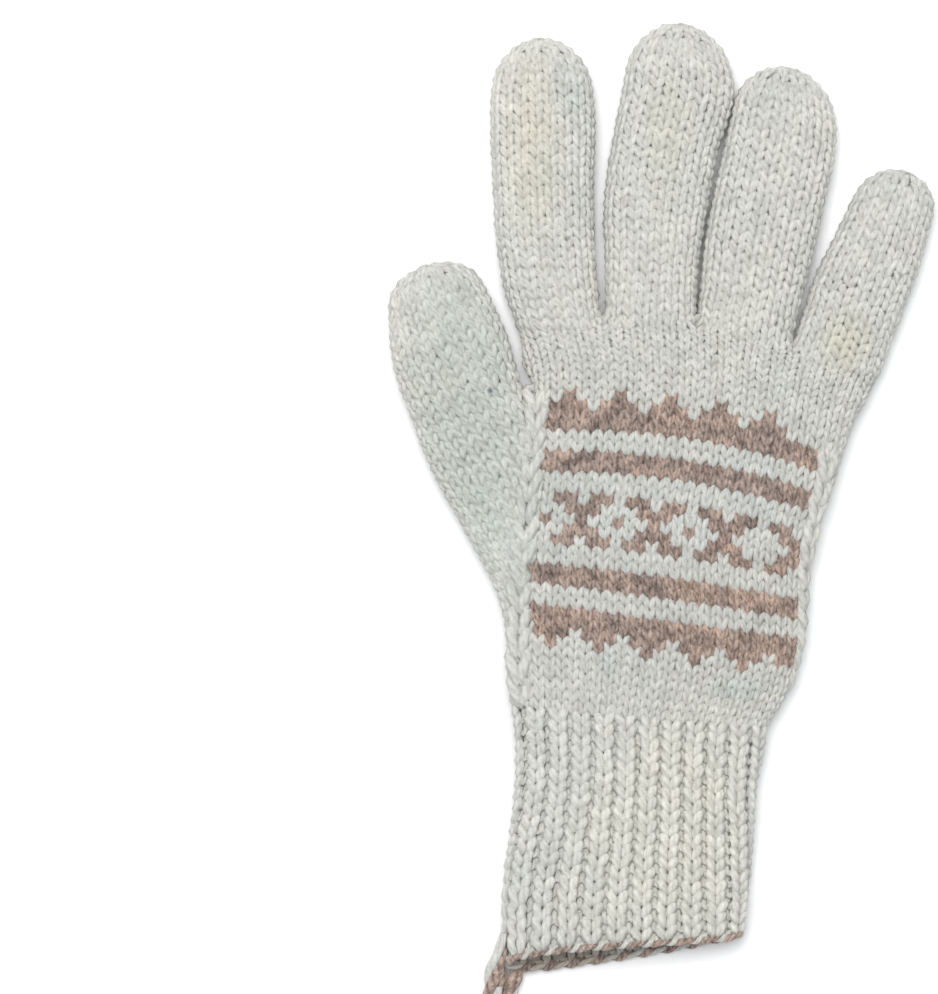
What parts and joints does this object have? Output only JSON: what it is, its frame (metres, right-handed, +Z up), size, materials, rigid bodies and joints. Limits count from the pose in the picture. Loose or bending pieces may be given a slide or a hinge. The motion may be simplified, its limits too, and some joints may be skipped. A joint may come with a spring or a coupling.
{
  "type": "knitted wool glove",
  "caption": "Right-hand knitted wool glove with a ribbed cuff, a two-colour band on the back, a cast-on edge and a hanging loop, lying flat and hollow inside.",
  "frame": {"origin": "middle of the glove's footprint on the resting plane, the hanging loop left out", "axes": "+Z up out of the back of the hand, +Y from the cuff to the fingertips, the thumb at -X"},
  "size_m": [0.1496, 0.2995, 0.0166],
  "materials": {
    "white_wool": "matt, softly fuzzy off-white wool yarn",
    "taupe_wool": "matt, softly fuzzy taupe wool yarn"
  },
  "bodies": {
    "root": {"cuff": "white_wool", "hand": "white_wool", "index_finger": "white_wool", "middle_finger": "white_wool", "ring_finger": "white_wool", "little_finger": "white_wool", "thumb": "white_wool", "cast_on_edge": "taupe_wool", "hanging_loop": "taupe_wool"}
  },
  "joints": []
}
